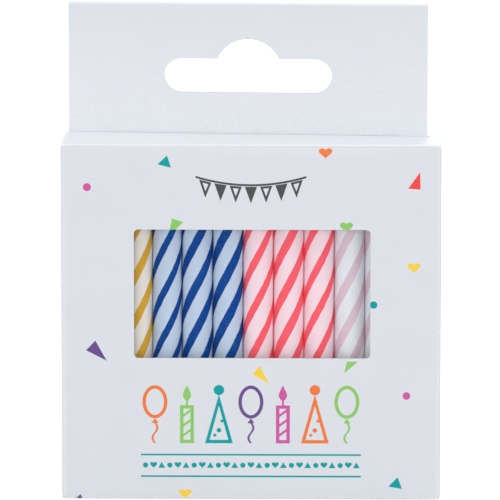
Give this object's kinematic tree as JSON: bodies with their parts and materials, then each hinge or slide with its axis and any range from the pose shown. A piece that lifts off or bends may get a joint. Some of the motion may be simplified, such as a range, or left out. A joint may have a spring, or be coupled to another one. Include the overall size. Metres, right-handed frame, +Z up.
{
  "type": "carton of birthday candles",
  "caption": "Hanging paperboard carton with a window, holding two layers of small spiral-striped birthday candles.",
  "frame": {"origin": "middle of the carton's base, on the surface that it stands on", "axes": "+Z up the candles and the hanging header, -Y out of the windowed front, +X to the right seen from the front"},
  "size_m": [0.0682, 0.0132, 0.0884],
  "materials": {
    "printed_board": "white clay-coated paperboard, printed with coloured confetti, satin",
    "bare_board": "uncoated white inner side of the board, matte",
    "clear_film": "thin clear plastic film, glossy",
    "wick_cotton": "braided cotton, waxed",
    "gold_wax": "cream wax with gold spiral stripes, soft sheen",
    "blue_wax": "pale blue wax with deep blue spiral stripes, soft sheen",
    "coral_wax": "pale pink wax with coral spiral stripes, soft sheen",
    "mauve_wax": "white wax with pale mauve spiral stripes, soft sheen"
  },
  "bodies": {
    "root": {"gold_candle_1_wax": "gold_wax", "gold_candle_1_wick": "wick_cotton", "gold_candle_2_wax": "gold_wax", "gold_candle_2_wick": "wick_cotton", "gold_candle_3_wax": "gold_wax", "gold_candle_3_wick": "wick_cotton", "blue_candle_1_wax": "blue_wax", "blue_candle_1_wick": "wick_cotton", "blue_candle_2_wax": "blue_wax", "blue_candle_2_wick": "wick_cotton", "blue_candle_3_wax": "blue_wax", "blue_candle_3_wick": "wick_cotton", "coral_candle_1_wax": "coral_wax", "coral_candle_1_wick": "wick_cotton", "coral_candle_2_wax": "coral_wax", "coral_candle_2_wick": "wick_cotton", "coral_candle_3_wax": "coral_wax", "coral_candle_3_wick": "wick_cotton", "mauve_candle_1_wax": "mauve_wax", "mauve_candle_1_wick": "wick_cotton", "mauve_candle_2_wax": "mauve_wax", "mauve_candle_2_wick": "wick_cotton", "mauve_candle_3_wax": "mauve_wax", "mauve_candle_3_wick": "wick_cotton", "gold_candle_4_wax": "gold_wax", "gold_candle_4_wick": "wick_cotton", "gold_candle_5_wax": "gold_wax", "gold_candle_5_wick": "wick_cotton", "gold_candle_6_wax": "gold_wax", "gold_candle_6_wick": "wick_cotton", "blue_candle_4_wax": "blue_wax", "blue_candle_4_wick": "wick_cotton", "blue_candle_5_wax": "blue_wax", "blue_candle_5_wick": "wick_cotton", "blue_candle_6_wax": "blue_wax", "blue_candle_6_wick": "wick_cotton", "coral_candle_4_wax": "coral_wax", "coral_candle_4_wick": "wick_cotton", "coral_candle_5_wax": "coral_wax", "coral_candle_5_wick": "wick_cotton", "coral_candle_6_wax": "coral_wax", "coral_candle_6_wick": "wick_cotton", "mauve_candle_4_wax": "mauve_wax", "mauve_candle_4_wick": "wick_cotton", "mauve_candle_5_wax": "mauve_wax", "mauve_candle_5_wick": "wick_cotton", "mauve_candle_6_wax": "mauve_wax", "mauve_candle_6_wick": "wick_cotton", "carton_sleeve": "printed_board", "hang_header": "printed_board", "window_film": "clear_film"},
    "lid": {"lid_panel": "printed_board"},
    "lid_tongue": {"lid_tongue": "bare_board"},
    "top_dust_flap_left": {"top_dust_flap_left": "bare_board"},
    "top_dust_flap_right": {"top_dust_flap_right": "bare_board"},
    "bottom": {"bottom_panel": "printed_board"},
    "bottom_tongue": {"bottom_tongue": "bare_board"},
    "bottom_dust_flap_left": {"bottom_dust_flap_left": "bare_board"},
    "bottom_dust_flap_right": {"bottom_dust_flap_right": "bare_board"}
  },
  "joints": [
    {"name": "lid_hinge", "type": "hinge", "parent": "root", "child": "lid", "pos_m": [0, 0.00555, 0.0646], "axis": [-1, 0, 0], "range_deg": [0, 85]},
    {"name": "lid_tongue_crease", "type": "hinge", "parent": "lid", "child": "lid_tongue", "pos_m": [0, -0.00535, 0.0638], "axis": [1, 0, 0], "range_deg": [0, 63.75]},
    {"name": "top_dust_left_crease", "type": "hinge", "parent": "root", "child": "top_dust_flap_left", "pos_m": [-0.03406, 0, 0.06365], "axis": [0, -1, 0], "range_deg": [0, 25.5]},
    {"name": "top_dust_right_crease", "type": "hinge", "parent": "root", "child": "top_dust_flap_right", "pos_m": [0.03406, 0, 0.06365], "axis": [0, 1, 0], "range_deg": [0, 25.5]},
    {"name": "bottom_hinge", "type": "hinge", "parent": "root", "child": "bottom", "pos_m": [0, 0.00655, 0], "axis": [1, 0, 0], "range_deg": [0, 85]},
    {"name": "bottom_tongue_crease", "type": "hinge", "parent": "bottom", "child": "bottom_tongue", "pos_m": [0, -0.00535, 0.0008], "axis": [-1, 0, 0], "range_deg": [0, 63.75]},
    {"name": "bottom_dust_left_crease", "type": "hinge", "parent": "root", "child": "bottom_dust_flap_left", "pos_m": [-0.03406, 0, 0.00095], "axis": [0, 1, 0], "range_deg": [0, 25.5]},
    {"name": "bottom_dust_right_crease", "type": "hinge", "parent": "root", "child": "bottom_dust_flap_right", "pos_m": [0.03406, 0, 0.00095], "axis": [0, -1, 0], "range_deg": [0, 25.5]}
  ],
  "couplings": [
    {"joint": "lid_tongue_crease", "follows": "lid_hinge", "ratio": 0.75},
    {"joint": "top_dust_left_crease", "follows": "lid_hinge", "ratio": 0.3},
    {"joint": "top_dust_right_crease", "follows": "lid_hinge", "ratio": 0.3},
    {"joint": "bottom_tongue_crease", "follows": "bottom_hinge", "ratio": 0.75},
    {"joint": "bottom_dust_left_crease", "follows": "bottom_hinge", "ratio": 0.3},
    {"joint": "bottom_dust_right_crease", "follows": "bottom_hinge", "ratio": 0.3}
  ]
}
